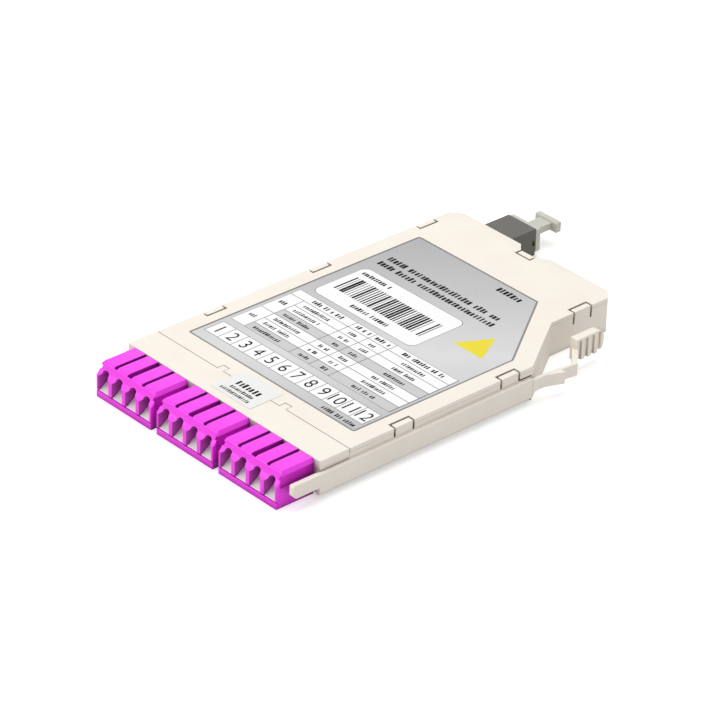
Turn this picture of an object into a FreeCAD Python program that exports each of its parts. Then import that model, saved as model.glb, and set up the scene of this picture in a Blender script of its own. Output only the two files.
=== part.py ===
import FreeCAD, Part
import math
import os

# A flat fibre cassette: three four-port shuttered adapters in front, one multi-fibre
# adapter behind, a tray and a clip-on cover between them, and a squeeze latch on the right.
# +X is right seen from the ports, +Y runs to the rear and +Z is up. The origin is the middle
# of the housing's underside. While building, y = 0 is the housing's front edge.

V = FreeCAD.Vector

# Housing
HOUSING_WIDTH = 85.2
HALF = HOUSING_WIDTH / 2
HOUSING_LENGTH = 133.0
HOUSING_HEIGHT = 11.7
WALL = 1.6
FOOT_CHAMFER = 0.8
FLOOR = 1.4
LID = 1.4
SHOULDER_Y = 83.2
SHOULDER_DEPTH = 14.8
NECK_LENGTH = 22.3
NECK_X = HALF - SHOULDER_DEPTH
NECK_Y = SHOULDER_Y + NECK_LENGTH
CORNER_CUT = 3.5
POCKET_SIDE = 29.0
POCKET_WIDTH = 12.8
POCKET_LEFT = POCKET_SIDE - HALF
POCKET_RIGHT = POCKET_LEFT + POCKET_WIDTH
POCKET_DEPTH = 3.1
FRONT_STRIP = 11.0
FIT = 0.05
SEAM = 0.15
BEVEL_LENGTH = 3.4
BEVEL_DROP = 0.4

# Catch tabs of the tray that show in notches of the cover
TAB_WIDTH = 6.6
TAB_DEPTH = 2.0
TAB_SLIT = 0.7
TAB_SLIT_DEPTH = 3.2
NECK_SLIT_DEPTH = 4.1
SHOULDER_SLIT = 0.5
FRONT_TAB_Y = 32.1
SHOULDER_TAB_BACK = 9.0
NECK_TAB_RUN = 13.3
SIDE_TAB_Y = (FRONT_TAB_Y, SHOULDER_Y - SHOULDER_TAB_BACK, NECK_Y + NECK_TAB_RUN)
REAR_TAB_X = (POCKET_LEFT + POCKET_RIGHT) / 2
REAR_TAB_WIDTH = 5.4

# Posts under the cover
POST_FROM_NECK = 15.8
POST_FROM_SIDE = 18.6
NECK_POST_Y = 94.0
REAR_POST_Y = 112.0
SIDE_POST_Y = 66.0
POSTS = ((NECK_X - POST_FROM_NECK, NECK_POST_Y), (REAR_TAB_X, REAR_POST_Y), (HALF - POST_FROM_SIDE, SIDE_POST_Y))
POST_RADIUS = 2.2

# Keys of the front strip that reach into the cover
KEY_WIDTH = 2.6
KEY_LENGTH = 2.4

# Side rails and the front guide finger
RAIL_PROUD = 1.4
RAIL_LOW = 1.3
RAIL_TOP = 8.4
RAIL_FRONT = 1.2
RAIL_REAR = SHOULDER_Y - 1.0
RAIL_CHAMFER = 0.7
FINGER_REACH = 11.2
FINGER_HEIGHT = 4.4
FINGER_THICKNESS = 1.75
FINGER_CUT = 1.2

# Four-port adapters, which fill the housing's front between its cheeks
PORTS = 4
QUAD_COUNT = 3
QUAD_GAP = 2.6
CHEEK = 2.5
QUAD_WIDTH = (HOUSING_WIDTH - 2 * CHEEK - (QUAD_COUNT - 1) * QUAD_GAP) / QUAD_COUNT
QUAD_PITCH = QUAD_WIDTH + QUAD_GAP
PORT_PITCH = QUAD_WIDTH / PORTS
QUAD_REACH = 14.0
QUAD_BROW = 12.1
BROW_RADIUS = 1.2
QUAD_TOP_DROP = 0.15
QUAD_REAR = 12.6
QUAD_SHRINK = 0.3
PORT_WIDTH = 4.7
PORT_FLOOR = 2.45
PORT_SHOULDER = 7.15
PORT_TAPER = 0.9
PORT_ROOF = 9.3
PORT_THROAT = 2.8
LIP_DEPTH = 0.4
LIP_END = -5.0
LIP_SET_BACK = 0.5
MIDWALL = 3.4
MIDWALL_Y = -0.5
STEP_HEIGHT = 7.4
STEP_RUN = 1.3
SIDE_RECESS = 0.7
RECESS_LOW = 6.4
EDGE_BEVEL = 0.8
GROOVE_DEPTH = 1.8
GROOVE_THIN = 1.25
GROOVE_THICK = 2.0

# Alignment sleeves, connectors and shutters in the ports
SLEEVE_RADIUS = 0.8
SLEEVE_BORE = 0.625
SLEEVE_LENGTH = 6.8
SLEEVE_SLIT = 0.25
BOSS_WALL = 0.6
FERRULE_RADIUS = 0.59
TUBE_SIDES = 12
HOLDER_GAP = 0.1
RUNNING = 0.03
PLUG_SIDE = 4.4
PLUG_LENGTH = 10.8
PLUG_LATCH = 1.1
BOOT_LENGTH = 8.0
BOOT_ROOT = 3.2
BOOT_TIP = 1.8
LEAF_LENGTH = 8.0
LEAF_THICKNESS = 0.2
LEAF_BARREL = 0.24
LEAF_ANGLE = 35.0
LEAF_INSET = 0.6
LEAF_DROP = 0.1
LEAF_CURL = 0.2
LEAF_SIDE_GAP = 0.12

# Fibres inside
LEAD_RADIUS = 0.45
LEAD_PITCH = 1.2
LEAD_LEAN = 55.0
LEAD_TURN_Y = 66.0
BLOCK_FRONT = 76.0
BLOCK_LENGTH = 12.0
BLOCK_MARGIN = 0.6
BLOCK_HEIGHT = 4.0
SLOT_DEPTH = 2.0
RIBBON_WIDTH = 3.2
RIBBON_THICKNESS = 0.5

# Multi-fibre adapter, its inner connector and its dust cap
MPO_SIDE = 17.9
MPO_X = MPO_SIDE - HALF
MPO_WIDTH = 12.4
MPO_LOW = 1.3
MPO_TOP = 10.7
MPO_REACH = 11.5
MPO_NECK = 11.6
MPO_INSIDE = 15.0
MPO_PORT_WIDTH = 9.6
MPO_PORT_HEIGHT = 6.6
MPO_WEB = 2.0
MPO_FERRULE_WIDTH = 6.4
MPO_FERRULE_HEIGHT = 2.5
MPO_FERRULE_PLAY = 0.15
MPO_KEY_WIDTH = 3.4
MPO_KEY_RISE = 0.8
MPO_BOOT_WIDTH = 6.8
MPO_BOOT_LOW = 2.6
MPO_BOOT_TOP = 1.6
MPO_SHOULDER = 3.0
WINDOW_LOW = 4.8
WINDOW_TOP = 6.8
WINDOW_LENGTH = 1.3
CAP_FIT = 0.15
CAP_WALL = 1.2
CAP_FLANGE = 1.9
CAP_FLANGE_LOW = 2.4
CAP_FLANGE_TOP = 10.2
CAP_PLUG = 9.0
CAP_BAR_WIDTH = 9.6
CAP_BAR_LOW = 4.9
CAP_BAR_TOP = 8.4
CAP_BAR_THICKNESS = 2.1
CAP_REACH = 12.6
CAP_WEB_WIDTH = 5.2
CAP_WEB_LOW = 5.4
CAP_WEB_TOP = 7.8
CAP_FLARE = 1.6
INNER_PLUG_LENGTH = 14.0
INNER_NOSE = 4.0
INNER_BOOT_LENGTH = 9.0

# Squeeze latch on the right side
ARM_LOW = 3.8
ARM_TOP = 7.8
ARM_THICKNESS = 1.2
ARM_CLEAR = 0.3
ARM_RUN = 17.3
ARM_BEND_Y = RAIL_REAR + ARM_RUN
CATCH_SET_BACK = 4.8
CATCH_RUN = 6.3
CATCH_START = RAIL_REAR + CATCH_SET_BACK
CATCH_TIP = CATCH_START + CATCH_RUN
CATCH_PROUD = 2.3
ARM_FLARE = 1.2
ARM_CATCH_BACK = 0.6
BEND_THICKNESS = 1.8
PAD_INSET = 5.05
BEND_RUN = 5.6
PAD_START = ARM_BEND_Y + BEND_RUN
PAD_LENGTH = 11.6
PAD_DEPTH = 2.7
PAD_LOW = 3.3
PAD_TOP = 10.8
PAD_WALL = 1.3
PAD_GROOVE = 1.3
PAD_GROOVE_PITCH = 2.7
PAD_GROOVES = 4
PAD_GROOVE_DEPTH = 0.7
PAD_RIB = 1.0
PAD_ROUND = 3.0
KNUCKLE_RADIUS = 0.6

# Label and seal on the cover
LABEL_MARGIN = 6.0
LABEL_HALF = HALF - LABEL_MARGIN
LABEL_FRONT = 17.9
LABEL_CUT_WIDTH = 20.4
LABEL_CUT_LENGTH = 30.2
LABEL_CUT_X = LABEL_HALF - LABEL_CUT_WIDTH
LABEL_CUT_Y = SHOULDER_Y - 2.0
LABEL_REAR = LABEL_CUT_Y + LABEL_CUT_LENGTH
LABEL_THICKNESS = 0.25
LABEL_RECESS = 0.3
LABEL_GAP = 0.25
LABEL_CORNER = 0.9
SEAL_WIDTH = 17.2
SEAL_FRONT = 3.1
SEAL_LENGTH = 12.9
SEAL_THICKNESS = 0.12

TOP = HOUSING_HEIGHT
RIM = TOP - LID
PORT_AXIS = PORT_FLOOR + PORT_WIDTH / 2
QUAD_TOP = TOP - QUAD_TOP_DROP
QUAD_CENTRES = [(q - (QUAD_COUNT - 1) / 2) * QUAD_PITCH for q in range(QUAD_COUNT)]
PORT_OFFSETS = [(p - (PORTS - 1) / 2) * PORT_PITCH for p in range(PORTS)]
PORT_X = [centre + offset for centre in QUAD_CENTRES for offset in PORT_OFFSETS]
SLEEVE_FRONT = MIDWALL_Y - SLEEVE_LENGTH / 2
SLEEVE_BACK = MIDWALL_Y + SLEEVE_LENGTH / 2
PLUG_FRONT = SLEEVE_BACK + 4 * FIT
BOOT_END = PLUG_FRONT + PLUG_LENGTH + BOOT_LENGTH
REAR = HOUSING_LENGTH
POCKET_Y = REAR - POCKET_DEPTH
ARM_INSIDE = HALF + ARM_CLEAR
ARM_OUTSIDE = ARM_INSIDE + ARM_THICKNESS
MPO_AXIS = (FLOOR + RIM) / 2
BLOCK_LEFT = PORT_X[0] - LEAD_PITCH / 2 - BLOCK_MARGIN
BLOCK_WIDTH = LEAD_PITCH * len(PORT_X) + 2 * BLOCK_MARGIN
BLOCK_X = BLOCK_LEFT + BLOCK_WIDTH / 2


def box(x0, x1, y0, y1, z0, z1):
    return Part.makeBox(x1 - x0, y1 - y0, z1 - z0, V(x0, y0, z0))


def plate(outline, z0, z1):
    """A flat piece with an XY outline."""
    wire = Part.makePolygon([V(x, y, z0) for x, y in outline] + [V(*outline[0], z0)])
    return Part.Face(wire).extrude(V(0, 0, z1 - z0))


def side_profile(outline, x0, x1):
    """A piece with a YZ outline, running along X."""
    wire = Part.makePolygon([V(x0, y, z) for y, z in outline] + [V(x0, *outline[0])])
    return Part.Face(wire).extrude(V(x1 - x0, 0, 0))


def front_profile(outline, y0, y1):
    """A piece with an XZ outline, running along Y."""
    wire = Part.makePolygon([V(x, y0, z) for x, z in outline] + [V(outline[0][0], y0, outline[0][1])])
    return Part.Face(wire).extrude(V(0, y1 - y0, 0))


def prism(x, y0, y1, z, radius):
    """A small hidden tube or pin along Y, drawn with flat sides that touch its true radius."""
    step = 2 * math.pi / TUBE_SIDES
    reach = radius / math.cos(step / 2)
    corners = [(x + reach * math.sin((i + 0.5) * step), z + reach * math.cos((i + 0.5) * step)) for i in range(TUBE_SIDES)]
    return front_profile(corners, y0, y1)


def housing_outline(inset=0.0):
    """The housing seen from above, moved inwards by inset."""
    slope = math.atan2(HALF - NECK_X, NECK_Y - SHOULDER_Y)
    slide = inset * math.tan(slope / 2)
    cut = CORNER_CUT - inset * (2 - math.sqrt(2))
    diagonal = inset * (math.sqrt(2) - 1)
    right, rear = HALF - inset, REAR - inset
    return [
        (-right, inset), (right, inset), (right, SHOULDER_Y - slide),
        (NECK_X - inset, NECK_Y - slide), (NECK_X - inset, rear - cut),
        (NECK_X - inset - cut, rear), (POCKET_RIGHT + diagonal, rear),
        (POCKET_RIGHT - POCKET_DEPTH + diagonal, POCKET_Y - inset),
        (POCKET_LEFT + POCKET_DEPTH - diagonal, POCKET_Y - inset),
        (POCKET_LEFT - diagonal, rear), (-right + cut, rear), (-right, rear - cut),
    ]


def tab_places():
    """Middle, outward direction and width of each catch tab."""
    places = []
    for y in SIDE_TAB_Y:
        places.append((-HALF, y, -1, 0, TAB_WIDTH))
        places.append((HALF if y < SHOULDER_Y else NECK_X, y, 1, 0, TAB_WIDTH))
    places.append((REAR_TAB_X, POCKET_Y, 0, 1, REAR_TAB_WIDTH))
    return places


def tab_block(place, depth, margin, z0, z1):
    """A block at a tab: depth inwards from the wall's outer face, margin wider each side."""
    x, y, out_x, out_y, width = place
    reach = width / 2 + margin
    if out_x:
        inner, outer = sorted((x, x - out_x * depth))
        return box(inner, outer, y - reach, y + reach, z0, z1)
    return box(x - reach, x + reach, y - depth, y, z0, z1)


def rail(side, front, rear):
    """A guide rail along one side, its lower outer edge chamfered."""
    inner, outer = side * (HALF - FIT), side * (HALF + RAIL_PROUD)
    section = [
        (inner, RAIL_LOW), (outer - side * RAIL_CHAMFER, RAIL_LOW),
        (outer, RAIL_LOW + RAIL_CHAMFER), (outer, RAIL_TOP), (inner, RAIL_TOP),
    ]
    return front_profile(section, front, rear)


def guide_finger():
    """The rail's lead-in, which reaches forward beside the right adapter."""
    low = RAIL_TOP - FINGER_HEIGHT
    outline = [
        (-RAIL_FRONT, low), (-FINGER_REACH + FINGER_CUT, low), (-FINGER_REACH, low + FINGER_CUT),
        (-FINGER_REACH, RAIL_TOP - 0.5), (-FINGER_REACH + 0.5, RAIL_TOP), (-RAIL_FRONT, RAIL_TOP),
    ]
    outer = HALF + RAIL_PROUD
    return side_profile(outline, outer - FINGER_THICKNESS, outer)


def base_shell():
    """Tray: floor, walls, rails, catch tabs and the posts that hold the fibres inside."""
    tray = plate(housing_outline(), 0, RIM)
    for side in (-1, 1):
        edge = side * HALF
        foot = [(edge + side, -1), (edge, FOOT_CHAMFER), (edge - side * FOOT_CHAMFER, 0), (edge - side * FOOT_CHAMFER, -1)]
        tray = tray.cut(front_profile(foot, -1, SHOULDER_Y))
    toe = [(-1, -1), (-1, FOOT_CHAMFER + 1), (0, FOOT_CHAMFER), (FOOT_CHAMFER, 0), (FOOT_CHAMFER, -1)]
    tray = tray.cut(side_profile(toe, -HALF, HALF))
    inner = plate(housing_outline(WALL), FLOOR, TOP)
    tray = tray.cut(inner)
    tray = tray.cut(box(-HALF, HALF, -1, FRONT_STRIP, RAIL_TOP, TOP))
    tray = tray.cut(box(-HALF + WALL, HALF - WALL, -1, FRONT_STRIP, FLOOR, TOP))
    neck = MPO_NECK / 2 + FIT
    tray = tray.cut(box(MPO_X - neck, MPO_X + neck, REAR - 2 * WALL, REAR + 1, FLOOR, TOP))
    tray = tray.fuse(rail(1, -RAIL_FRONT, RAIL_REAR)).fuse(rail(-1, 0, RAIL_REAR))
    tray = tray.fuse(guide_finger())
    shoulder_tab = SIDE_TAB_Y[1] + TAB_WIDTH / 2
    slit_low = RAIL_TOP + FIT
    shoulder_slit = box(HALF - WALL - FIT, HALF + 1, shoulder_tab, SHOULDER_Y - 0.3, slit_low, slit_low + SHOULDER_SLIT)
    tray = tray.cut(shoulder_slit)
    for place in tab_places():
        slot_low = TOP - (NECK_SLIT_DEPTH if place[0] == NECK_X else TAB_SLIT_DEPTH)
        slot = tab_block(place, WALL + FIT, TAB_SLIT, slot_low, TOP)
        tray = tray.cut(slot)
        tray = tray.fuse(tab_block(place, WALL, 0, slot_low - FIT, RIM))
        tray = tray.fuse(tab_block(place, TAB_DEPTH, 0, RIM - 1.0, TOP))
    for x, y in POSTS:
        post = Part.makeCylinder(POST_RADIUS, RIM - FLOOR - 2 * FIT, V(x, y, FLOOR))
        tray = tray.fuse(post)
    cradle_x = BLOCK_X - BLOCK_WIDTH / 2 - 1.0
    cradle = box(cradle_x, cradle_x + BLOCK_WIDTH + 2.0, BLOCK_FRONT, BLOCK_FRONT + BLOCK_LENGTH, FLOOR, block_low())
    tray = tray.fuse(cradle)
    saddle_half = MPO_NECK / 2
    saddle_rear = REAR - MPO_INSIDE - 4.0
    saddle = box(MPO_X - saddle_half, MPO_X + saddle_half, saddle_rear - 4.0, saddle_rear, FLOOR,
                 MPO_AXIS - MPO_BOOT_LOW - FIT)
    return tray.fuse(saddle).removeSplitter()


def block_low():
    return PORT_AXIS - BLOCK_HEIGHT / 2 - FIT


def front_frame():
    """Front strip: the roof and the bars that hold the three adapters."""
    strip = box(-HALF, HALF, 0, FRONT_STRIP, RIM, TOP)
    cheek = HALF - (QUAD_CENTRES[-1] + QUAD_WIDTH / 2 - QUAD_SHRINK + FIT)
    for side in (-1, 1):
        inner, outer = sorted((side * HALF, side * (HALF - cheek)))
        strip = strip.fuse(box(inner, outer, 0, FRONT_STRIP, RAIL_TOP + FIT, RIM))
        inner, outer = sorted((side * (HALF - WALL - FIT), side * (HALF - cheek)))
        strip = strip.fuse(box(inner, outer, 0, FRONT_STRIP, FLOOR + FIT, RAIL_TOP + FIT))
    for left, right in zip(QUAD_CENTRES, QUAD_CENTRES[1:]):
        middle = (left + right) / 2
        bar = QUAD_PITCH / 2 - QUAD_WIDTH / 2 + QUAD_SHRINK - FIT
        strip = strip.fuse(box(middle - bar, middle + bar, 0, FRONT_STRIP, FLOOR + FIT, RIM))
        key = KEY_WIDTH / 2
        strip = strip.fuse(box(middle - key, middle + key, FRONT_STRIP, FRONT_STRIP + KEY_LENGTH, RIM + FIT, TOP))
    return strip.removeSplitter()


def label_outline(inset=0.0):
    lean = math.atan2(LABEL_HALF - LABEL_CUT_X, LABEL_REAR - LABEL_CUT_Y)
    low_slide = inset * math.tan(lean / 2)
    high_slide = inset * math.tan((math.pi / 2 - lean) / 2)
    half = LABEL_HALF - inset
    return [
        (-half, LABEL_FRONT + inset), (half, LABEL_FRONT + inset), (half, LABEL_CUT_Y - low_slide),
        (LABEL_CUT_X - high_slide, LABEL_REAR - inset), (-half, LABEL_REAR - inset),
    ]


def round_upright_edges(solid, radius):
    edges = [edge for edge in solid.Edges if abs(edge.Vertexes[0].Z - edge.Vertexes[-1].Z) > LABEL_THICKNESS / 2]
    return solid.makeFillet(radius, edges)


def top_cover():
    """Clip-on lid behind the front strip, notched round every tab, with the label's recess."""
    front = FRONT_STRIP + SEAM
    lid = plate(housing_outline(), RIM + FIT, TOP)
    lid = lid.cut(box(-HALF - 1, HALF + 1, -1, front, 0, TOP + 1))
    wedge = side_profile([(REAR - BEVEL_LENGTH, TOP), (REAR + 1, TOP), (REAR + 1, TOP - BEVEL_DROP)], -HALF, HALF)
    lid = lid.cut(wedge)
    for place in tab_places():
        lid = lid.cut(tab_block(place, TAB_DEPTH + TAB_SLIT, TAB_SLIT, RIM, TOP + 1))
    for left, right in zip(QUAD_CENTRES, QUAD_CENTRES[1:]):
        middle = (left + right) / 2
        key = KEY_WIDTH / 2 + SEAM
        lid = lid.cut(box(middle - key, middle + key, front - 1, front + KEY_LENGTH, RIM, TOP + 1))
    recess = plate(label_outline(), TOP - LABEL_RECESS, TOP + 1)
    lid = lid.cut(round_upright_edges(recess, LABEL_CORNER))
    return lid.removeSplitter()


def port_label():
    """Printed plastic sheet that lies in the cover's recess."""
    low = TOP - LABEL_RECESS + FIT / 5
    sheet = plate(label_outline(LABEL_GAP), low, low + LABEL_THICKNESS)
    return round_upright_edges(sheet, LABEL_CORNER - LABEL_GAP / 2)


def seal_sticker():
    """Paper seal across the seam between the front strip and the cover."""
    low = TOP + FIT / 5
    return box(-SEAL_WIDTH / 2, SEAL_WIDTH / 2, SEAL_FRONT, SEAL_FRONT + SEAL_LENGTH, low, low + SEAL_THICKNESS)


def port_hollow(x, y0, y1):
    """Keyhole socket: a square body, sloping shoulders and a round-topped throat for the latch."""
    half, throat = PORT_WIDTH / 2, PORT_THROAT / 2
    neck = PORT_SHOULDER + PORT_TAPER
    spring = PORT_ROOF - throat / 2
    corners = [
        (x - throat, spring), (x - throat, neck), (x - half, PORT_SHOULDER), (x - half, PORT_FLOOR),
        (x + half, PORT_FLOOR), (x + half, PORT_SHOULDER), (x + throat, neck), (x + throat, spring),
    ]
    edges = [
        Part.LineSegment(V(before[0], y0, before[1]), V(after[0], y0, after[1])).toShape()
        for before, after in zip(corners, corners[1:])
    ]
    crown = Part.Arc(V(x + throat, y0, spring), V(x, y0, PORT_ROOF), V(x - throat, y0, spring))
    edges.append(crown.toShape())
    return Part.Face(Part.Wire(edges)).extrude(V(0, y1 - y0, 0))


def quad_nose(centre):
    """The adapter's front block: a square chin, a sloping step and a rounded brow."""
    half = QUAD_WIDTH / 2
    chin, brow, top = -QUAD_REACH, -QUAD_BROW, QUAD_TOP
    corners = [
        (brow + BROW_RADIUS, top), (-FIT, top), (-FIT, 0), (chin, 0), (chin, STEP_HEIGHT),
        (chin + STEP_RUN * 0.55, STEP_HEIGHT + 0.7), (chin + STEP_RUN, STEP_HEIGHT + 1.5), (brow, top - BROW_RADIUS),
    ]
    left = centre - half
    edges = [
        Part.LineSegment(V(left, *before), V(left, *after)).toShape() for before, after in zip(corners, corners[1:])
    ]
    share = BROW_RADIUS * (1 - math.sqrt(0.5))
    brow_arc = Part.Arc(V(left, *corners[-1]), V(left, brow + share, top - share), V(left, *corners[0]))
    edges.append(brow_arc.toShape())
    return Part.Face(Part.Wire(edges)).extrude(V(2 * half, 0, 0))


def trim_sides(body, centre):
    """Bevel the top side edges and set the upper side faces back."""
    for side in (-1, 1):
        edge = centre + side * QUAD_WIDTH / 2
        drop = QUAD_TOP - EDGE_BEVEL * 1.6
        corner = [(edge, QUAD_TOP), (edge - side * EDGE_BEVEL, QUAD_TOP), (edge, drop)]
        body = body.cut(front_profile(corner, -QUAD_REACH - 1, 0))
        inner, outer = sorted((edge, edge - side * SIDE_RECESS))
        body = body.cut(box(inner, outer, -QUAD_BROW - 0.5, 0, RECESS_LOW, drop))
    return body


def cut_port(body, x):
    """A keyhole passage from front to rear, with a lower lip where the leaf lies when it is open."""
    half = PORT_WIDTH / 2
    body = body.cut(port_hollow(x, -QUAD_REACH - 1, QUAD_REAR + 1))
    return body.cut(box(x - half, x + half, -QUAD_REACH - 1, LIP_END, PORT_FLOOR - LIP_DEPTH, PORT_FLOOR))


def cut_groove(body, x, width):
    front = -QUAD_BROW + 0.25
    return body.cut(box(x - width / 2, x + width / 2, front, 0, QUAD_TOP - GROOVE_DEPTH, QUAD_TOP + 1))


def quad_adapter(centre):
    """One moulded adapter: a nosed front block with four ports and a plainer rear block."""
    half = QUAD_WIDTH / 2
    body = trim_sides(quad_nose(centre), centre)
    chin = box(centre - half, centre + half, -QUAD_REACH - 1, -QUAD_REACH + LIP_SET_BACK,
               PORT_FLOOR - LIP_DEPTH, PORT_FLOOR)
    body = body.cut(chin)
    rear_half = half - QUAD_SHRINK
    rear = box(centre - rear_half, centre + rear_half, -2 * FIT, QUAD_REAR, FLOOR + FIT, RIM - FIT)
    body = body.fuse(rear)
    for offset in PORT_OFFSETS:
        body = cut_port(body, centre + offset)
    for index in range(1, PORTS):
        width = GROOVE_THICK if index == PORTS // 2 else GROOVE_THIN
        body = cut_groove(body, centre + (index - PORTS / 2) * PORT_PITCH, width)
    return body.removeSplitter()


def sleeve_holder(x):
    """Insert in the middle of a passage: a square wall with a tube for the sleeve on each face."""
    half = PORT_WIDTH / 2 - HOLDER_GAP
    wall = box(x - half, x + half, MIDWALL_Y - MIDWALL / 2, MIDWALL_Y + MIDWALL / 2, PORT_AXIS - half, PORT_AXIS + half)
    holder = wall.fuse(prism(x, SLEEVE_FRONT, SLEEVE_BACK, PORT_AXIS, SLEEVE_RADIUS + RUNNING + BOSS_WALL))
    return holder.cut(prism(x, SLEEVE_FRONT - 1, SLEEVE_BACK + 1, PORT_AXIS, SLEEVE_RADIUS + RUNNING))


def sleeve_holders(quad):
    return Part.makeCompound([sleeve_holder(x) for x in PORT_X[quad * PORTS:(quad + 1) * PORTS]])


def alignment_sleeve(x):
    """Split ceramic tube that lines up two ferrules end to end."""
    tube = prism(x, SLEEVE_FRONT, SLEEVE_BACK, PORT_AXIS, SLEEVE_RADIUS)
    tube = tube.cut(prism(x, SLEEVE_FRONT - 1, SLEEVE_BACK + 1, PORT_AXIS, SLEEVE_BORE))
    slit = SLEEVE_SLIT / 2
    return tube.cut(box(x - slit, x + slit, SLEEVE_FRONT - 1, SLEEVE_BACK + 1, PORT_AXIS, PORT_AXIS + 2))


def shutter_leaf(x):
    """Sprung metal leaf that rises from the port's lower lip and lies down under a plug."""
    half = PORT_WIDTH / 2 - LEAF_SIDE_GAP
    y, z = leaf_pivot()
    tip = y + LEAF_LENGTH
    barrel = Part.makeCylinder(LEAF_BARREL, 2 * half, V(x - half, y, z), V(1, 0, 0))
    leaf = box(x - half, x + half, y, tip, z - LEAF_THICKNESS / 2, z + LEAF_THICKNESS / 2)
    curl = box(x - half, x + half, tip - LEAF_THICKNESS, tip, z - LEAF_CURL, z + LEAF_THICKNESS / 2)
    leaf = leaf.fuse(curl).fuse(barrel).removeSplitter()
    leaf.rotate(V(x, y, z), V(1, 0, 0), LEAF_ANGLE)
    return leaf


def leaf_pivot():
    return -QUAD_REACH + LEAF_INSET, PORT_FLOOR - LEAF_DROP


def inner_plug(x):
    """Single-fibre connector pushed into the rear of a port: body, latch, ferrule and boot."""
    half = PLUG_SIDE / 2
    back = PLUG_FRONT + PLUG_LENGTH
    body = box(x - half, x + half, PLUG_FRONT, back, PORT_AXIS - half, PORT_AXIS + half)
    latch = side_profile([
        (PLUG_FRONT + 0.5, PORT_AXIS + half), (back - 1, PORT_AXIS + half),
        (back - 1, PORT_AXIS + half + PLUG_LATCH), (back - 3, PORT_AXIS + half + PLUG_LATCH),
    ], x - 1.0, x + 1.0)
    ferrule = prism(x, MIDWALL_Y + FIT, PLUG_FRONT + FIT, PORT_AXIS, FERRULE_RADIUS)
    root, tip = BOOT_ROOT / 2, BOOT_TIP / 2
    boot = Part.makeWedge(x - root, back - FIT, PORT_AXIS - root, PORT_AXIS - tip, x - tip,
                          x + root, BOOT_END, PORT_AXIS + root, PORT_AXIS + tip, x + tip)
    return body.fuse(latch).fuse(ferrule).fuse(boot).removeSplitter()


def rounded_path(points, shares=0.45):
    """Straight runs joined by tangent arcs, as large as the runs allow."""
    edges = []
    start = points[0]
    for before, corner, after in zip(points, points[1:], points[2:]):
        run_in, run_out = corner.sub(before), after.sub(corner)
        turn = run_in.getAngle(run_out)
        tangent = shares * min(run_in.Length, run_out.Length)
        run_in.normalize()
        run_out.normalize()
        enter = corner.sub(run_in * tangent)
        leave = corner.add(run_out * tangent)
        radius = tangent / math.tan(turn / 2)
        inward = run_out.sub(run_in)
        inward.normalize()
        middle = corner.add(inward * (radius / math.cos(turn / 2) - radius))
        edges.append(Part.LineSegment(start, enter).toShape())
        edges.append(Part.Arc(enter, middle, leave).toShape())
        start = leave
    edges.append(Part.LineSegment(start, points[-1]).toShape())
    return Part.Wire(edges)


def sweep(profile, path):
    return path.makePipeShell([profile], True, False)


def lead_section(centre):
    """Four-sided stand-in for a lead's round section."""
    angles = [math.radians(45 + 90 * step) for step in range(5)]
    return Part.makePolygon([centre.add(V(math.cos(a), 0, math.sin(a)) * LEAD_RADIUS) for a in angles])


def fibre_lead(index):
    """One thin lead from its connector's boot to its hole in the fan-out block."""
    x, target = PORT_X[index], PORT_X[0] + index * LEAD_PITCH
    start = V(x, BOOT_END + FIT, PORT_AXIS)
    end = V(target, BLOCK_FRONT + SLOT_DEPTH, PORT_AXIS)
    section = lead_section(start)
    if x - target < LEAD_RADIUS:
        return Part.Face(section).extrude(end.sub(start))
    lean = math.radians(LEAD_LEAN)
    turn_back = LEAD_TURN_Y + index * LEAD_PITCH * math.tan(lean / 2)
    turn_away = turn_back - (x - target) / math.tan(lean)
    path = rounded_path([start, V(x, turn_away, PORT_AXIS), V(target, turn_back, PORT_AXIS), end])
    return sweep(section, path)


def fibre_leads(quad):
    return Part.makeCompound([fibre_lead(quad * PORTS + port) for port in range(PORTS)])


def fanout_block():
    """Block where the ribbon splits into twelve leads."""
    low = block_low() + FIT
    block = box(BLOCK_LEFT, BLOCK_LEFT + BLOCK_WIDTH, BLOCK_FRONT, BLOCK_FRONT + BLOCK_LENGTH, low, low + BLOCK_HEIGHT)
    slot_half = LEAD_RADIUS + FIT
    slot = box(BLOCK_LEFT + BLOCK_MARGIN - FIT, BLOCK_LEFT + BLOCK_WIDTH - BLOCK_MARGIN + FIT,
               BLOCK_FRONT - 1, BLOCK_FRONT + SLOT_DEPTH + FIT, PORT_AXIS - slot_half, PORT_AXIS + slot_half)
    return block.cut(slot)


def ribbon_fibre():
    """Flat twelve-fibre ribbon from the fan-out block to the multi-fibre connector."""
    start = V(BLOCK_X, BLOCK_FRONT + BLOCK_LENGTH + FIT, PORT_AXIS)
    end_y = REAR - MPO_INSIDE - INNER_BOOT_LENGTH + 2.0
    end = V(MPO_X, end_y, PORT_AXIS)
    middle_y = (start.y + end.y) / 2
    path = rounded_path([start, V(BLOCK_X, middle_y - 3, PORT_AXIS), V(MPO_X, middle_y + 3, PORT_AXIS), end])
    half, thin = RIBBON_WIDTH / 2, RIBBON_THICKNESS / 2
    section = Part.makePolygon([
        start.add(V(-half, 0, -thin)), start.add(V(half, 0, -thin)),
        start.add(V(half, 0, thin)), start.add(V(-half, 0, thin)), start.add(V(-half, 0, -thin)),
    ])
    return sweep(section, path)


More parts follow.
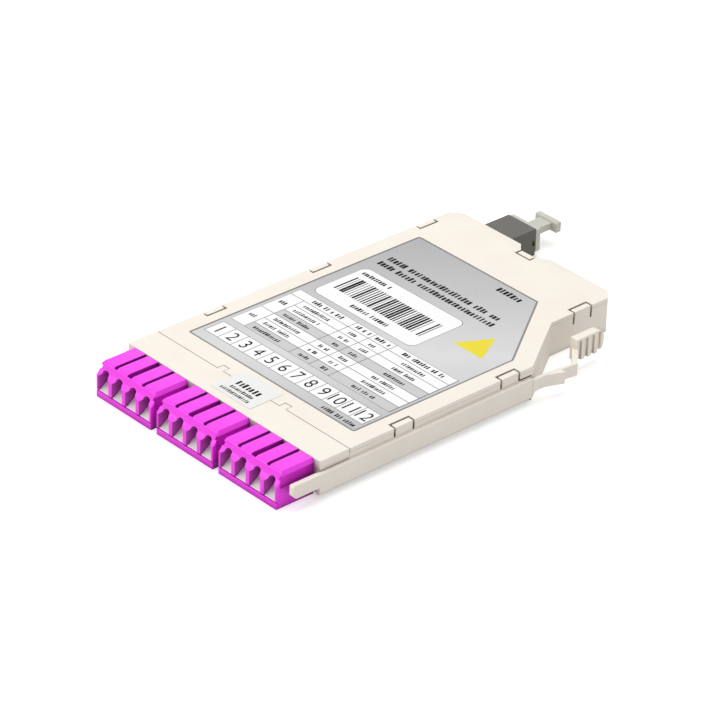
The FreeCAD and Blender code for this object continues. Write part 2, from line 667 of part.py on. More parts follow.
def mpo_adapter():
    """Multi-fibre adapter through the rear wall, with a port at each end."""
    half, neck = MPO_WIDTH / 2, MPO_NECK / 2
    tail = REAR + MPO_REACH
    body = box(MPO_X - half, MPO_X + half, REAR + FIT, tail, MPO_LOW, MPO_TOP)
    body = body.fuse(box(MPO_X - neck, MPO_X + neck, REAR - MPO_INSIDE, REAR + 2 * FIT, FLOOR + FIT, RIM - FIT))
    port_half, port_tall = MPO_PORT_WIDTH / 2, MPO_PORT_HEIGHT / 2
    web_front = tail - CAP_PLUG - 2 * CAP_FIT - MPO_WEB
    body = body.cut(box(MPO_X - port_half, MPO_X + port_half, web_front + MPO_WEB, tail + 1,
                        MPO_AXIS - port_tall, MPO_AXIS + port_tall))
    body = body.cut(box(MPO_X - port_half, MPO_X + port_half, REAR - MPO_INSIDE - 1, web_front,
                        MPO_AXIS - port_tall, MPO_AXIS + port_tall))
    bore_half = MPO_FERRULE_WIDTH / 2 + MPO_FERRULE_PLAY
    bore_tall = MPO_FERRULE_HEIGHT / 2 + MPO_FERRULE_PLAY
    body = body.cut(box(MPO_X - bore_half, MPO_X + bore_half, web_front - 1, tail,
                        MPO_AXIS - bore_tall, MPO_AXIS + bore_tall))
    key = box(MPO_X - MPO_KEY_WIDTH / 2, MPO_X + MPO_KEY_WIDTH / 2, web_front + MPO_WEB, tail + 1,
              MPO_AXIS, MPO_AXIS + port_tall + MPO_KEY_RISE)
    body = body.cut(key)
    window = box(MPO_X - half - 1, MPO_X + half + 1, tail - WINDOW_LENGTH, tail + 1, WINDOW_LOW, WINDOW_TOP)
    return body.cut(window).removeSplitter()


def mpo_dust_cap():
    """Pull-off cap: a plug, a flange and a T-shaped pull."""
    tail = REAR + MPO_REACH
    half, tall = MPO_PORT_WIDTH / 2 - CAP_FIT, MPO_PORT_HEIGHT / 2 - CAP_FIT
    plug = box(MPO_X - half, MPO_X + half, tail - CAP_PLUG, tail + 2 * CAP_FIT, MPO_AXIS - tall, MPO_AXIS + tall)
    core = box(MPO_X - half + CAP_WALL, MPO_X + half - CAP_WALL, tail - CAP_PLUG - 1, tail - CAP_WALL,
               MPO_AXIS - tall + CAP_WALL, MPO_AXIS + tall - CAP_WALL)
    plug = plug.cut(core)
    flange_half = MPO_WIDTH / 2
    flange = box(MPO_X - flange_half, MPO_X + flange_half, tail + CAP_FIT, tail + CAP_FIT + CAP_FLANGE,
                 CAP_FLANGE_LOW, CAP_FLANGE_TOP)
    bar_back = tail + CAP_REACH
    bar_front = bar_back - CAP_BAR_THICKNESS
    bar_half = CAP_BAR_WIDTH / 2
    bar = box(MPO_X - bar_half, MPO_X + bar_half, bar_front, bar_back, CAP_BAR_LOW, CAP_BAR_TOP)
    root = tail + CAP_FIT + CAP_FLANGE
    web_half = CAP_WEB_WIDTH / 2
    web = plate([
        (MPO_X - web_half - CAP_FLARE, root - FIT), (MPO_X + web_half + CAP_FLARE, root - FIT),
        (MPO_X + web_half, root + CAP_FLARE), (MPO_X + web_half, bar_front + FIT),
        (MPO_X - web_half, bar_front + FIT), (MPO_X - web_half, root + CAP_FLARE),
    ], CAP_WEB_LOW, CAP_WEB_TOP)
    return plug.fuse(flange).fuse(web).fuse(bar).removeSplitter()


def mpo_inner_plug():
    """Multi-fibre connector inside the housing, with its ferrule and boot."""
    front = REAR - MPO_INSIDE
    half, tall = MPO_PORT_WIDTH / 2 - CAP_FIT, MPO_PORT_HEIGHT / 2 - CAP_FIT
    shoulder = front - MPO_SHOULDER
    ferrule_half, boot_half = MPO_FERRULE_WIDTH / 2, MPO_BOOT_WIDTH / 2
    boot_low, boot_top = MPO_AXIS - MPO_BOOT_LOW, MPO_AXIS + MPO_BOOT_TOP
    body = box(MPO_X - half, MPO_X + half, shoulder, front + INNER_PLUG_LENGTH - INNER_NOSE,
               MPO_AXIS - tall, MPO_AXIS + tall)
    ferrule = box(MPO_X - ferrule_half, MPO_X + ferrule_half, front, front + INNER_PLUG_LENGTH - INNER_NOSE / 2,
                  MPO_AXIS - MPO_FERRULE_HEIGHT / 2, MPO_AXIS + MPO_FERRULE_HEIGHT / 2)
    boot = box(MPO_X - boot_half, MPO_X + boot_half, front - INNER_BOOT_LENGTH, shoulder + FIT, boot_low, boot_top)
    channel = box(MPO_X - RIBBON_WIDTH / 2 - FIT, MPO_X + RIBBON_WIDTH / 2 + FIT,
                  front - INNER_BOOT_LENGTH - 1, shoulder,
                  PORT_AXIS - RIBBON_THICKNESS / 2 - FIT, PORT_AXIS + RIBBON_THICKNESS / 2 + FIT)
    return body.fuse(ferrule).fuse(boot).cut(channel).removeSplitter()


def release_latch():
    """Flexing side arm: root knuckle, outward catch, inward bend and a ribbed thumb pad."""
    root_y = latch_pivot()[1]
    inside, outside = ARM_INSIDE, ARM_OUTSIDE
    pad_face = outside - PAD_INSET
    elbow = outside + ARM_FLARE
    bend_end = ARM_BEND_Y + elbow - pad_face
    across = BEND_THICKNESS * math.sqrt(2)
    inner_elbow = elbow - ARM_THICKNESS - 0.2
    arm = plate([
        (inside, root_y), (outside, root_y), (outside, CATCH_START), (outside + CATCH_PROUD, CATCH_TIP - 0.5),
        (outside + CATCH_PROUD, CATCH_TIP), (outside + ARM_CATCH_BACK, CATCH_TIP), (elbow, ARM_BEND_Y),
        (pad_face, bend_end), (pad_face, bend_end + 0.5), (pad_face - PAD_WALL, bend_end + 0.5),
        (pad_face - PAD_WALL, bend_end + PAD_WALL - across),
        (inner_elbow, bend_end + pad_face - inner_elbow - across), (inside, CATCH_START),
    ], ARM_LOW, ARM_TOP)
    knuckle = Part.makeCylinder(KNUCKLE_RADIUS, ARM_TOP - ARM_LOW, V((inside + outside) / 2, root_y, ARM_LOW))
    pad_end = PAD_START + PAD_LENGTH
    pad = box(pad_face - PAD_DEPTH, pad_face, PAD_START, pad_end, PAD_LOW, PAD_TOP)
    rear_edges = [
        edge for edge in pad.Edges
        if min(vertex.Y for vertex in edge.Vertexes) > pad_end - 0.01
        and abs(edge.Vertexes[0].Z - edge.Vertexes[-1].Z) < 0.01
    ]
    pad = pad.makeFillet(PAD_ROUND, rear_edges)
    hollow = box(pad_face - PAD_DEPTH - 1, pad_face - PAD_WALL, PAD_START + PAD_WALL, pad_end - PAD_WALL,
                 PAD_LOW + PAD_WALL, PAD_TOP - PAD_WALL)
    pad = pad.cut(hollow)
    for index in range(PAD_GROOVES):
        y = PAD_START + PAD_RIB + index * PAD_GROOVE_PITCH
        pad = pad.cut(box(pad_face - PAD_GROOVE_DEPTH, pad_face + 1, y, y + PAD_GROOVE,
                          PAD_LOW - 1, PAD_TOP - PAD_GROOVE_DEPTH))
    return arm.fuse(knuckle).fuse(pad).removeSplitter()


def latch_pivot():
    return (ARM_INSIDE + ARM_OUTSIDE) / 2, RAIL_REAR + FIT + KNUCKLE_RADIUS


def save(name, shape):
    """Move the piece into the part's frame and write it."""
    moved = shape.copy()
    moved.translate(V(0, -HOUSING_LENGTH / 2, 0))
    moved.exportStep("parts/%s.step" % name)


SIDES = ("left", "middle", "right")


def main():
    os.makedirs("parts", exist_ok=True)
    save("base_shell", base_shell())
    save("front_frame", front_frame())
    save("top_cover", top_cover())
    save("port_label", port_label())
    save("seal_sticker", seal_sticker())
    for quad, side in enumerate(SIDES):
        save("lc_adapter_%s" % side, quad_adapter(QUAD_CENTRES[quad]))
        save("sleeve_holders_%s" % side, sleeve_holders(quad))
        save("fibre_leads_%s" % side, fibre_leads(quad))
    for number, x in enumerate(PORT_X, start=1):
        save("alignment_sleeve_%02d" % number, alignment_sleeve(x))
        save("port_shutter_%02d" % number, shutter_leaf(x))
        save("inner_plug_%02d" % number, inner_plug(x))
    save("fanout_block", fanout_block())
    save("ribbon_fibre", ribbon_fibre())
    save("mpo_adapter", mpo_adapter())
    save("mpo_inner_plug", mpo_inner_plug())
    save("mpo_dust_cap", mpo_dust_cap())
    save("release_latch", release_latch())


main()
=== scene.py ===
import math

import bmesh
import bpy
from mathutils import Matrix, Vector


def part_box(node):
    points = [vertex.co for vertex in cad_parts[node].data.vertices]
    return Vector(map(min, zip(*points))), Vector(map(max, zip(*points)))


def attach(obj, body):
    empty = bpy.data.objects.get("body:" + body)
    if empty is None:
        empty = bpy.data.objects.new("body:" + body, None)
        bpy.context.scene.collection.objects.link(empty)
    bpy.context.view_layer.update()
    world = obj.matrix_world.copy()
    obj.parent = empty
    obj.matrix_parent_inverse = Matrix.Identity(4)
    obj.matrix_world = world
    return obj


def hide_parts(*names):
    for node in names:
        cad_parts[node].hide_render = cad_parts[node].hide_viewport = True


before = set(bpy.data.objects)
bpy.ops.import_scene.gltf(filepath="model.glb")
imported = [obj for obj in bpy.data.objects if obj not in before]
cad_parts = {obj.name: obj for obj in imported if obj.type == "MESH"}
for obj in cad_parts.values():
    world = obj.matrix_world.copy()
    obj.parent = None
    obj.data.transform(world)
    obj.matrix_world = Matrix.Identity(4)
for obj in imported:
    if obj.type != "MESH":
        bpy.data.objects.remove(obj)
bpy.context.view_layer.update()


# ---------------------------------------------------------------------------
# Tray
# The lower half of the housing, moulded in cream ABS in one shot: floor, side
# walls, slide rails and the catch tabs that show along the cover's edge. Its
# outer faces come from a fine spark-eroded mould and its edges are just broken.

MM = 0.001
CREAM = (247, 240, 229)
CREAM_SHADE = (230, 217, 200)
# painted shade laid in the cream mouldings' corners and slits
CREAM_PAINTED_SHADE = (112, 98, 82)
CREAM_ROUGHNESS = 0.46
MOULDED_IOR = 1.5
CLOUD_LENGTH = 14.0
CLOUD_SHARE = 0.22
MOULD_DETAIL = 3.0
GLOSS_SPREAD = (-0.05, 0.07)
MIX_COLOURS = (6, 7)
MIX_RESULT = 2
NOISE_SPAN = (0.3, 0.7)
SLIT_SHARE = 0.12
SKY_SAMPLES = 6
WELD = 0.002
FLAT_WITHIN = 1.5
EDGE_STEPS = 3
CROWDING = 1.2
SHARP_FROM = 38
EVEN_WEIGHT = 90
TRAY_EDGE = 0.22


def linear(colour):
    """A colour of 0 to 255 steps as the shader wants it."""
    shares = [step / 255 for step in colour]
    return tuple(((s + 0.055) / 1.055) ** 2.4 if s > 0.04 else s / 12.92 for s in shares) + (1.0,)


def node_material(name):
    """A fresh material, its nodes, its links, its shader and its object coordinates."""
    material = bpy.data.materials.new(name)
    material.use_nodes = True
    nodes, links = material.node_tree.nodes, material.node_tree.links
    place = nodes.new("ShaderNodeTexCoord").outputs["Object"]
    return material, nodes, links, nodes["Principled BSDF"], place


def noise(nodes, links, place, grain, detail=2.0, stretch=(1, 1, 1)):
    """Noise whose lumps are about grain millimetres long, drawn out along an axis by stretch."""
    turn = nodes.new("ShaderNodeMapping")
    turn.inputs["Scale"].default_value = [1 / (grain * MM * s) for s in stretch]
    links.new(place, turn.inputs["Vector"])
    texture = nodes.new("ShaderNodeTexNoise")
    texture.inputs["Scale"].default_value = 1.0
    texture.inputs["Detail"].default_value = detail
    links.new(turn.outputs["Vector"], texture.inputs["Vector"])
    return texture.outputs["Fac"]


def between(nodes, links, value, low, high):
    """A noise value stretched to run from low to high."""
    spread = nodes.new("ShaderNodeMapRange")
    spread.inputs["From Min"].default_value = NOISE_SPAN[0]
    spread.inputs["From Max"].default_value = NOISE_SPAN[1]
    spread.inputs["To Min"].default_value = low
    spread.inputs["To Max"].default_value = high
    links.new(value, spread.inputs["Value"])
    return spread.outputs["Result"]


def blended(nodes, links, share, one, other):
    """Two colours mixed by a share."""
    mix = nodes.new("ShaderNodeMix")
    mix.data_type = "RGBA"
    links.new(share, mix.inputs["Factor"])
    for socket, colour in zip(MIX_COLOURS, (one, other)):
        if isinstance(colour, tuple):
            mix.inputs[socket].default_value = colour
        else:
            links.new(colour, mix.inputs[socket])
    return mix.outputs[MIX_RESULT]


def painted_shade_share(nodes, links, reach, open_from):
    """Share of open sky for painted shade: 0 deep in a slit, 1 where more than open_from is free.
    """
    openness = nodes.new("ShaderNodeAmbientOcclusion")
    openness.samples = SKY_SAMPLES
    openness.inputs["Distance"].default_value = reach * MM
    shallow = nodes.new("ShaderNodeMapRange")
    shallow.inputs["From Min"].default_value = SLIT_SHARE
    shallow.inputs["From Max"].default_value = open_from
    links.new(openness.outputs["AO"], shallow.inputs["Value"])
    return shallow.outputs["Result"]


def raise_grain(nodes, links, shader, value, height):
    """Surface grain of height millimetres."""
    bump = nodes.new("ShaderNodeBump")
    bump.inputs["Strength"].default_value = 1.0
    bump.inputs["Distance"].default_value = height * MM
    links.new(value, bump.inputs["Height"])
    links.new(bump.outputs["Normal"], shader.inputs["Normal"])


def moulded_plastic(
    name, colour, shade, corner, roughness, grain=0.45, height=0.006, reach=2.5, open_from=0.62
):
    """Moulded plastic: slow change of tone, fine mould grain, and painted shade in its corners.
    """
    material, nodes, links, shader, place = node_material(name)
    cloud = noise(nodes, links, place, CLOUD_LENGTH, MOULD_DETAIL)
    slow = between(nodes, links, cloud, 0.0, CLOUD_SHARE)
    body = blended(nodes, links, slow, linear(colour), linear(shade))
    # painted shade: the corner colour is mixed in where the sky above a point is closed in
    share = painted_shade_share(nodes, links, reach, open_from)
    toned = blended(nodes, links, share, linear(corner), body)
    links.new(toned, shader.inputs["Base Color"])
    fine = noise(nodes, links, place, grain, MOULD_DETAIL)
    gloss = between(nodes, links, fine, *[roughness + step for step in GLOSS_SPREAD])
    links.new(gloss, shader.inputs["Roughness"])
    raise_grain(nodes, links, shader, fine, height)
    shader.inputs["IOR"].default_value = MOULDED_IOR
    return material


def clean_copy(node):
    """A CAD node's mesh with its corners joined and its flat faces whole."""
    solid = bmesh.new()
    solid.from_mesh(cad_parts[node].data)
    bmesh.ops.remove_doubles(solid, verts=solid.verts, dist=WELD * MM)
    bmesh.ops.dissolve_limit(
        solid, angle_limit=math.radians(FLAT_WITHIN), verts=solid.verts, edges=solid.edges
    )
    return solid


def shown(solid, name, material, body, slot, *nodes):
    """Makes the finished mesh a piece that rides on a body and stands for its CAD nodes."""
    mesh = bpy.data.meshes.new(name)
    solid.to_mesh(mesh)
    solid.free()
    mesh.materials.append(material)
    piece = bpy.data.objects.new(name, mesh)
    bpy.context.scene.collection.objects.link(piece)
    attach(piece, body)
    if nodes:
        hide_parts(*nodes)
    return piece


def broken_edges(
    node, name, edge, material, slot, body="housing", bend=32.0, shortest=1.2, evened=True
):
    """A CAD node's shape with its sharp edges rounded over by edge millimetres.

    Edges that meet one too short for the rounding are left sharp.
    """
    solid = clean_copy(node)
    limit = math.radians(bend)
    crowded = {v for e in solid.edges if e.calc_length() < CROWDING * edge * MM for v in e.verts}
    sharp = [
        e for e in solid.edges
        if e.is_manifold and e.calc_face_angle() > limit and e.calc_length() > shortest * MM
        and not crowded.intersection(e.verts)
    ]
    bmesh.ops.bevel(
        solid, geom=sharp, offset=edge * MM, segments=EDGE_STEPS, profile=0.5, affect="EDGES",
        offset_type="OFFSET", clamp_overlap=True,
    )
    for face in solid.faces:
        face.smooth = True
    piece = shown(solid, name, material, body, slot, node)
    piece.data.set_sharp_from_angle(angle=math.radians(SHARP_FROM))
    if evened:
        even = piece.modifiers.new("even shading", "WEIGHTED_NORMAL")
        even.keep_sharp = True
        even.weight = EVEN_WEIGHT
    return piece


shell_plastic = moulded_plastic(
    "cream_moulding", CREAM, CREAM_SHADE, CREAM_PAINTED_SHADE, CREAM_ROUGHNESS
)
broken_edges("base_shell", "tray", TRAY_EDGE, shell_plastic, "shell_plastic")


# ---------------------------------------------------------------------------
# Front strip and cover
# Two cream mouldings that close the tray. The strip holds the adapters down and keys
# into the cover, and is painted with shade where it stands between them; the cover clips
# over the tray's tabs and is notched round them.

COVER_EDGE = 0.16
# painted shade, deep and wide, where the strip stands in the gaps between the adapters
STRIP_PAINTED_SHADE = (64, 55, 44)

strip_plastic = moulded_plastic(
    "cream_strip_moulding", CREAM, CREAM_SHADE, STRIP_PAINTED_SHADE, CREAM_ROUGHNESS,
    reach=6.0, open_from=0.85,
)
broken_edges("front_frame", "front_strip", COVER_EDGE, strip_plastic, "shell_plastic")
broken_edges("top_cover", "cover", COVER_EDGE, shell_plastic, "shell_plastic")


# ---------------------------------------------------------------------------
# Four-port adapters
# Each is one moulding in glossy magenta PBT with four keyhole ports, a rounded brow
# and grooves on top where the moulds' cores were drawn. They drop into the tray's front.

MAGENTA = (251, 56, 244)
MAGENTA_SHADE = (246, 44, 226)
# painted shade for the magenta's grooves, lips and corners
MAGENTA_PAINTED_SHADE = (84, 0, 88)
# painted shade: the walls inside the ports take a darker magenta than the outside, darker still
# in their corners
SHADED_PORT_WALL = (206, 74, 196)
SHADED_PORT_WALL_TONE = (178, 56, 172)
SHADED_PORT_WALL_CORNER = (92, 0, 96)
PORT_HEAD = 4.0
SIDE_SKIN = 0.75
SIDEWAYS = 0.7
LEANING = 0.5
ADAPTER_EDGE = 0.2

adapter_plastic = moulded_plastic(
    "magenta_moulding", MAGENTA, MAGENTA_SHADE, MAGENTA_PAINTED_SHADE, roughness=0.34,
    grain=0.3, height=0.002, reach=4.0, open_from=0.8,
)
shaded_port_wall_plastic = moulded_plastic(
    "magenta_port_wall_painted_shade", SHADED_PORT_WALL, SHADED_PORT_WALL_TONE, SHADED_PORT_WALL_CORNER, roughness=0.5,
    grain=0.2, height=0.006, reach=5.0, open_from=0.7,
)


def outer_side(adapter, face):
    """Whether a face belongs to the adapter's own two sides."""
    left = min(v.co.x for v in adapter.data.vertices)
    right = max(v.co.x for v in adapter.data.vertices)
    return min(face.center.x - left, right - face.center.x) < SIDE_SKIN * MM


def port_walls(adapter):
    """Gives the cored walls inside the ports a duller face and a darker magenta, painted shade.
    """
    adapter.data.materials.append(shaded_port_wall_plastic)
    low, high = (Vector(corner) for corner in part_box("port_shutter_01"))
    for face in adapter.data.polygons:
        upright = abs(face.normal.x) > SIDEWAYS and abs(face.normal.z) < LEANING
        behind = low.y < face.center.y < 0
        within = behind and low.z < face.center.z < high.z + PORT_HEAD * MM
        if upright and within and not outer_side(adapter, face):
            face.material_index = 1


def coloured(node, material):
    """Gives a CAD node its material and leaves its shape as it is."""
    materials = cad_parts[node].data.materials
    materials.clear()
    materials.append(material)


SIDES = ("left", "middle", "right")
for side in SIDES:
    adapter = broken_edges(
        f"lc_adapter_{side}", f"four_port_adapter_{side}", ADAPTER_EDGE, adapter_plastic,
        "adapter_plastic", shortest=0.7, evened=False,
    )
    port_walls(adapter)
    coloured(f"sleeve_holders_{side}", adapter_plastic)


# ---------------------------------------------------------------------------
# Shutters
# One stamped leaf of thin spring steel slants across each port from its lower lip and
# lies down under a connector. It is brushed along its length and bright.

STEEL = (252, 253, 248)
STEEL_SHADE = (232, 234, 228)
STEEL_ROUGHNESS = (0.32, 0.48)
STEEL_SHINE = 0.2
STEEL_RELIEF = 0.0015
BRUSH_PITCH = 0.12
BRUSH_STRETCH = (1, 30, 30)
LEAF_EDGE = 0.05
PORT_COUNT = 12


def brushed_steel():
    """Bright steel with fine brush lines along the leaf."""
    material, nodes, links, shader, place = node_material("brushed_leaf_steel")
    streaks = noise(nodes, links, place, BRUSH_PITCH, stretch=BRUSH_STRETCH)
    share = between(nodes, links, streaks, 0.0, 1.0)
    toned = blended(nodes, links, share, linear(STEEL), linear(STEEL_SHADE))
    links.new(toned, shader.inputs["Base Color"])
    links.new(between(nodes, links, streaks, *STEEL_ROUGHNESS), shader.inputs["Roughness"])
    raise_grain(nodes, links, shader, streaks, STEEL_RELIEF)
    shader.inputs["Metallic"].default_value = STEEL_SHINE
    return material


leaf_steel = brushed_steel()
PORTS = [f"{port:02d}" for port in range(1, PORT_COUNT + 1)]
for port in PORTS:
    broken_edges(
        f"port_shutter_{port}", f"shutter_leaf_{port}", LEAF_EDGE, leaf_steel, "shutter_metal",
        f"shutter_{port}", shortest=0.3,
    )


# ---------------------------------------------------------------------------
# Sleeves, connectors and fibres inside
# Split zirconia sleeves line up the ferrules; small grey connectors plug in from
# behind, and their leads gather in a fan-out block and leave as one ribbon.

CERAMIC = (240, 238, 230)
CERAMIC_SHADE = (224, 220, 208)
CERAMIC_ROUGHNESS = (0.18, 0.3)
CERAMIC_RELIEF = 0.001
GRINDING_PITCH = 0.2
GRINDING_STRETCH = (6, 1, 6)
# For the plug, jacket and block, each third colour below is painted shade for their corners.
PLUG_GREY = (206, 208, 210)
PLUG_SHADE = (188, 190, 194)
PLUG_PAINTED_SHADE = (120, 122, 126)
AQUA = (70, 190, 196)
AQUA_SHADE = (58, 176, 184)
AQUA_PAINTED_SHADE = (30, 110, 118)
BLOCK_DARK = (44, 44, 46)
BLOCK_SHADE = (56, 56, 58)
BLOCK_PAINTED_SHADE = (20, 20, 22)


def ground_ceramic():
    """Ivory ceramic, ground round and polished."""
    material, nodes, links, shader, place = node_material("ground_ceramic")
    rings = noise(nodes, links, place, GRINDING_PITCH, stretch=GRINDING_STRETCH)
    share = between(nodes, links, rings, 0.0, 1.0)
    toned = blended(nodes, links, share, linear(CERAMIC), linear(CERAMIC_SHADE))
    links.new(toned, shader.inputs["Base Color"])
    links.new(between(nodes, links, rings, *CERAMIC_ROUGHNESS), shader.inputs["Roughness"])
    raise_grain(nodes, links, shader, rings, CERAMIC_RELIEF)
    return material


ceramic = ground_ceramic()
plug_plastic = moulded_plastic(
    "grey_plug_moulding", PLUG_GREY, PLUG_SHADE, PLUG_PAINTED_SHADE, roughness=0.4
)
lead_jacket = moulded_plastic(
    "aqua_jacket", AQUA, AQUA_SHADE, AQUA_PAINTED_SHADE, roughness=0.5, grain=0.2, height=0.004
)
dark_plastic = moulded_plastic(
    "dark_moulding", BLOCK_DARK, BLOCK_SHADE, BLOCK_PAINTED_SHADE, roughness=0.5
)
coloured("ribbon_fibre", lead_jacket)
coloured("fanout_block", dark_plastic)
coloured("mpo_inner_plug", plug_plastic)
for side in SIDES:
    coloured(f"fibre_leads_{side}", lead_jacket)
for port in PORTS:
    coloured(f"alignment_sleeve_{port}", ceramic)
    coloured(f"inner_plug_{port}", plug_plastic)


# ---------------------------------------------------------------------------
# Rear adapter
# A grey glass-filled moulding, flanged through the rear wall, whose outer port takes
# the multi-fibre trunk. Its faces are matt and a little mottled.

SLATE = (99, 96, 90)
SLATE_SHADE = (94, 91, 84)
# painted shade for the rear adapter's corners
SLATE_PAINTED_SHADE = (40, 38, 35)
REAR_EDGE = 0.2

slate_plastic = moulded_plastic(
    "slate_moulding", SLATE, SLATE_SHADE, SLATE_PAINTED_SHADE, roughness=0.55, grain=0.35, height=0.008
)
broken_edges(
    "mpo_adapter", "rear_adapter", REAR_EDGE, slate_plastic, "dark_plastic", shortest=0.9
)


# ---------------------------------------------------------------------------
# Dust cap
# A soft grey polyethylene cap that pushes into the rear port: a plug, a flange and a
# T-shaped pull. It is waxy and lets a little light in.

CAP_GREY = (204, 204, 194)
CAP_SHADE = (190, 190, 178)
# painted shade for the cap's corners
CAP_PAINTED_SHADE = (134, 134, 122)
CAP_GLOW = 0.25
CAP_SCATTER = (0.8, 0.8, 0.7)
CAP_EDGE = 0.25

cap_plastic = moulded_plastic(
    "waxy_cap", CAP_GREY, CAP_SHADE, CAP_PAINTED_SHADE, roughness=0.38, grain=0.8, height=0.004
)
cap_shader = cap_plastic.node_tree.nodes["Principled BSDF"]
cap_shader.inputs["Subsurface Weight"].default_value = CAP_GLOW
cap_shader.inputs["Subsurface Radius"].default_value = [way * MM for way in CAP_SCATTER]
cap_shader.inputs["Subsurface Scale"].default_value = 1.0
broken_edges(
    "mpo_dust_cap", "dust_cap_pull", CAP_EDGE, cap_plastic, "cap_plastic", "dust_cap",
    shortest=0.9,
)


# ---------------------------------------------------------------------------
# Squeeze latch
# A springy cream arm rooted in the housing's shoulder, with an outward catch, an
# inward bend and a ribbed pad for the thumb. Its edges are rounded for the finger.

# painted shade, lighter than the tray's, in the latch's slits and corners
LATCH_PAINTED_SHADE = (186, 170, 150)
LATCH_EDGE = 0.28

latch_plastic = moulded_plastic(
    "cream_latch_moulding", CREAM, CREAM_SHADE, LATCH_PAINTED_SHADE, roughness=0.44, reach=1.5
)
broken_edges(
    "release_latch", "squeeze_latch", LATCH_EDGE, latch_plastic, "shell_plastic", "latch",
    shortest=0.9,
)


# ---------------------------------------------------------------------------
# Label
# A silver-grey polyester film laid in the cover's recess, with a thin rule printed along
# its edge. Its grey carries a painted sheen that changes slantwise from the left rear corner
# to the right front one, lightest past the middle, and its face has a fine satin tooth.

# painted sheen: greys laid slantwise across the film by position
FILM_PAINTED_SHEEN = (
    (0.0, (170, 170, 172)),
    (0.3, (191, 191, 193)),
    (0.62, (217, 217, 218)),
    (1.0, (186, 186, 189)),
)
FILM_CLOUD = (160, 160, 164)
FILM_CLOUD_SHARE = 0.06
FILM_CLOUD_LENGTH = 9.0
FILM_TOOTH = 0.18
FILM_RELIEF = 0.0015
FILM_ROUGHNESS = (0.34, 0.46)
FILM_COAT = 0.15
FILM_COAT_ROUGHNESS = 0.3
SHEEN_LEAN = 0.93
BORDER = 0.42
BORDER_GREY = (134, 134, 138)
BORDER_SHADE = (120, 120, 124)
INK_ROUGHNESS = (0.38, 0.5)
INK_THINNING = 0.35
INK_PATCH = 0.35
INK_DETAIL = 3.0
INK_RELIEF = 0.001
UPWARD = 0.9
TOP_SKIN = 0.05

label_low, label_high = (Vector(corner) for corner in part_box("port_label"))
FILM_TOP = label_high.z / MM
LABEL_FRONT = label_low.y / MM


def satin_film():
    """Silver-grey film with a painted sheen that changes slantwise."""
    material, nodes, links, shader, place = node_material("satin_label_film")
    split = nodes.new("ShaderNodeSeparateXYZ")
    links.new(place, split.inputs["Vector"])
    slant = nodes.new("ShaderNodeMath")
    slant.operation = "MULTIPLY_ADD"
    slant.inputs[1].default_value = -SHEEN_LEAN
    links.new(split.outputs["Y"], slant.inputs[0])
    links.new(split.outputs["X"], slant.inputs[2])
    across = nodes.new("ShaderNodeMapRange")
    across.inputs["From Min"].default_value = label_low.x - SHEEN_LEAN * label_high.y
    across.inputs["From Max"].default_value = label_high.x - SHEEN_LEAN * label_low.y
    links.new(slant.outputs["Value"], across.inputs["Value"])
    # painted sheen: the film's colour follows the slant across the label
    painted_sheen = nodes.new("ShaderNodeValToRGB")
    steps = painted_sheen.color_ramp.elements
    while len(steps) < len(FILM_PAINTED_SHEEN):
        steps.new(0.5)
    for step, (position, sheen_tone) in zip(steps, FILM_PAINTED_SHEEN):
        step.position, step.color = position, linear(sheen_tone)
    links.new(across.outputs["Result"], painted_sheen.inputs["Fac"])
    cloud = noise(nodes, links, place, FILM_CLOUD_LENGTH)
    cloudy = between(nodes, links, cloud, 0.0, FILM_CLOUD_SHARE)
    toned = blended(nodes, links, cloudy, painted_sheen.outputs["Color"], linear(FILM_CLOUD))
    links.new(toned, shader.inputs["Base Color"])
    tooth = noise(nodes, links, place, FILM_TOOTH)
    links.new(between(nodes, links, tooth, *FILM_ROUGHNESS), shader.inputs["Roughness"])
    raise_grain(nodes, links, shader, tooth, FILM_RELIEF)
    shader.inputs["Coat Weight"].default_value = FILM_COAT
    shader.inputs["Coat Roughness"].default_value = FILM_COAT_ROUGHNESS
    return material


def printed_ink(name, colour, shade):
    """Screen-printed ink: nearly even, a touch thinner here and there."""
    material, nodes, links, shader, place = node_material(name)
    thin = noise(nodes, links, place, INK_PATCH, INK_DETAIL)
    share = between(nodes, links, thin, 0.0, INK_THINNING)
    toned = blended(nodes, links, share, linear(colour), linear(shade))
    links.new(toned, shader.inputs["Base Color"])
    links.new(between(nodes, links, thin, *INK_ROUGHNESS), shader.inputs["Roughness"])
    raise_grain(nodes, links, shader, thin, INK_RELIEF)
    return material


label_film = satin_film()
border_ink = printed_ink("border_ink", BORDER_GREY, BORDER_SHADE)
sheet = clean_copy("port_label")
upper = [
    face for face in sheet.faces
    if face.normal.z > UPWARD and face.calc_center_median().z > label_high.z - TOP_SKIN * MM
]
border = bmesh.ops.inset_region(
    sheet, faces=upper, thickness=BORDER * MM, use_even_offset=True
)["faces"]
for face in border:
    face.material_index = 1
label = shown(sheet, "label_film_sheet", label_film, "housing", "label_film", "port_label")
label.data.materials.append(border_ink)


# ---------------------------------------------------------------------------
# Printed fields of the label
# Twelve port cells, a six-row table and a bar code's rounded panel in white ink, with
# grey rows and one plain yellow field. Each is a thin layer of ink on the film, and the
# fields' dark rules are one layer just below them.

